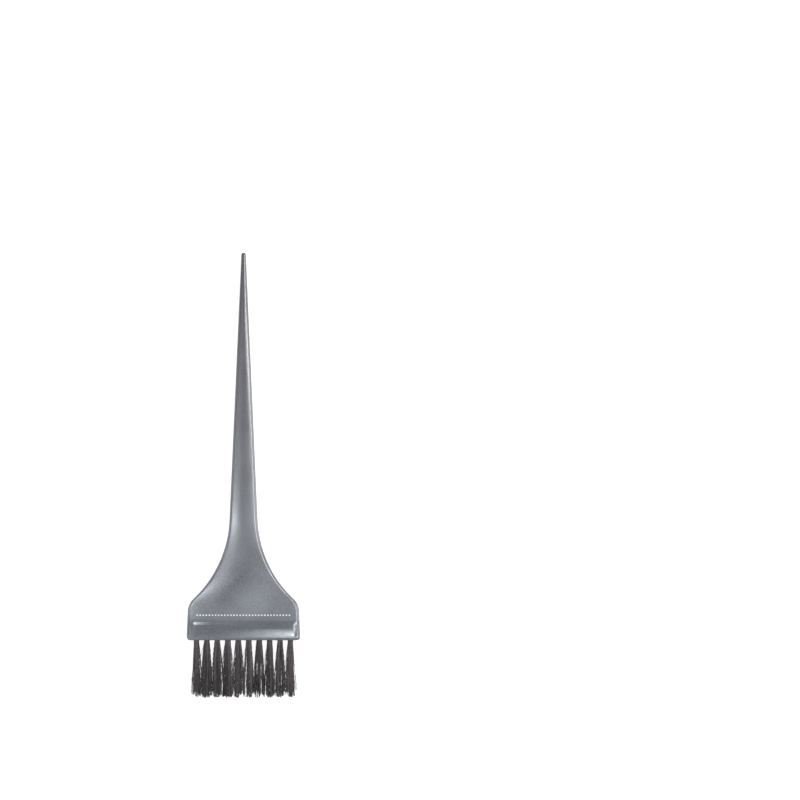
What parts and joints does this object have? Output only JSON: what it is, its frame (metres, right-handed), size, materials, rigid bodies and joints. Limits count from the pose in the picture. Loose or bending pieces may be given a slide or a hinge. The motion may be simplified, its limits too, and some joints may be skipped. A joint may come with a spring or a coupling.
{
  "type": "tint brush",
  "caption": "Flat hair tint brush with a wide flared head, a slim pointed tail and one row of springy nylon tufts held in blind holes by flat metal anchors.",
  "frame": {"origin": "on the flat back, under the middle of the whole brush, bristles included", "axes": "+X across the head, +Y along the handle from the bristles to the tip of the tail, +Z out of the crowned front"},
  "size_m": [0.0552, 0.2175, 0.007],
  "materials": {
    "handle_plastic": "satin",
    "anchor_wire": "satin",
    "bristle_nylon": "satin"
  },
  "bodies": {
    "handle": {"handle": "handle_plastic", "anchor_01": "anchor_wire", "anchor_02": "anchor_wire", "anchor_03": "anchor_wire", "anchor_04": "anchor_wire", "anchor_05": "anchor_wire", "anchor_06": "anchor_wire", "anchor_07": "anchor_wire", "anchor_08": "anchor_wire", "anchor_09": "anchor_wire", "anchor_10": "anchor_wire", "tuft_root_01": "bristle_nylon", "tuft_root_02": "bristle_nylon", "tuft_root_03": "bristle_nylon", "tuft_root_04": "bristle_nylon", "tuft_root_05": "bristle_nylon", "tuft_root_06": "bristle_nylon", "tuft_root_07": "bristle_nylon", "tuft_root_08": "bristle_nylon", "tuft_root_09": "bristle_nylon", "tuft_root_10": "bristle_nylon"},
    "tuft_01": {"tuft_01": "bristle_nylon"},
    "tuft_02": {"tuft_02": "bristle_nylon"},
    "tuft_03": {"tuft_03": "bristle_nylon"},
    "tuft_04": {"tuft_04": "bristle_nylon"},
    "tuft_05": {"tuft_05": "bristle_nylon"},
    "tuft_06": {"tuft_06": "bristle_nylon"},
    "tuft_07": {"tuft_07": "bristle_nylon"},
    "tuft_08": {"tuft_08": "bristle_nylon"},
    "tuft_09": {"tuft_09": "bristle_nylon"},
    "tuft_10": {"tuft_10": "bristle_nylon"}
  },
  "joints": [
    {"name": "tuft_01_bend", "type": "hinge", "parent": "handle", "child": "tuft_01", "pos_m": [-0.02295, -0.08453, 0.0035], "axis": [1, 0, 0], "range_deg": [-35, 35], "stiffness_Nm_per_rad": 0.0025},
    {"name": "tuft_02_bend", "type": "hinge", "parent": "handle", "child": "tuft_02", "pos_m": [-0.01785, -0.08453, 0.0035], "axis": [1, 0, 0], "range_deg": [-35, 35], "stiffness_Nm_per_rad": 0.0025},
    {"name": "tuft_03_bend", "type": "hinge", "parent": "handle", "child": "tuft_03", "pos_m": [-0.01275, -0.08453, 0.0035], "axis": [1, 0, 0], "range_deg": [-35, 35], "stiffness_Nm_per_rad": 0.0025},
    {"name": "tuft_04_bend", "type": "hinge", "parent": "handle", "child": "tuft_04", "pos_m": [-0.00765, -0.08453, 0.0035], "axis": [1, 0, 0], "range_deg": [-35, 35], "stiffness_Nm_per_rad": 0.0025},
    {"name": "tuft_05_bend", "type": "hinge", "parent": "handle", "child": "tuft_05", "pos_m": [-0.00255, -0.08453, 0.0035], "axis": [1, 0, 0], "range_deg": [-35, 35], "stiffness_Nm_per_rad": 0.0025},
    {"name": "tuft_06_bend", "type": "hinge", "parent": "handle", "child": "tuft_06", "pos_m": [0.00255, -0.08453, 0.0035], "axis": [1, 0, 0], "range_deg": [-35, 35], "stiffness_Nm_per_rad": 0.0025},
    {"name": "tuft_07_bend", "type": "hinge", "parent": "handle", "child": "tuft_07", "pos_m": [0.00765, -0.08453, 0.0035], "axis": [1, 0, 0], "range_deg": [-35, 35], "stiffness_Nm_per_rad": 0.0025},
    {"name": "tuft_08_bend", "type": "hinge", "parent": "handle", "child": "tuft_08", "pos_m": [0.01275, -0.08453, 0.0035], "axis": [1, 0, 0], "range_deg": [-35, 35], "stiffness_Nm_per_rad": 0.0025},
    {"name": "tuft_09_bend", "type": "hinge", "parent": "handle", "child": "tuft_09", "pos_m": [0.01785, -0.08453, 0.0035], "axis": [1, 0, 0], "range_deg": [-35, 35], "stiffness_Nm_per_rad": 0.0025},
    {"name": "tuft_10_bend", "type": "hinge", "parent": "handle", "child": "tuft_10", "pos_m": [0.02295, -0.08453, 0.0035], "axis": [1, 0, 0], "range_deg": [-35, 35], "stiffness_Nm_per_rad": 0.0025}
  ]
}
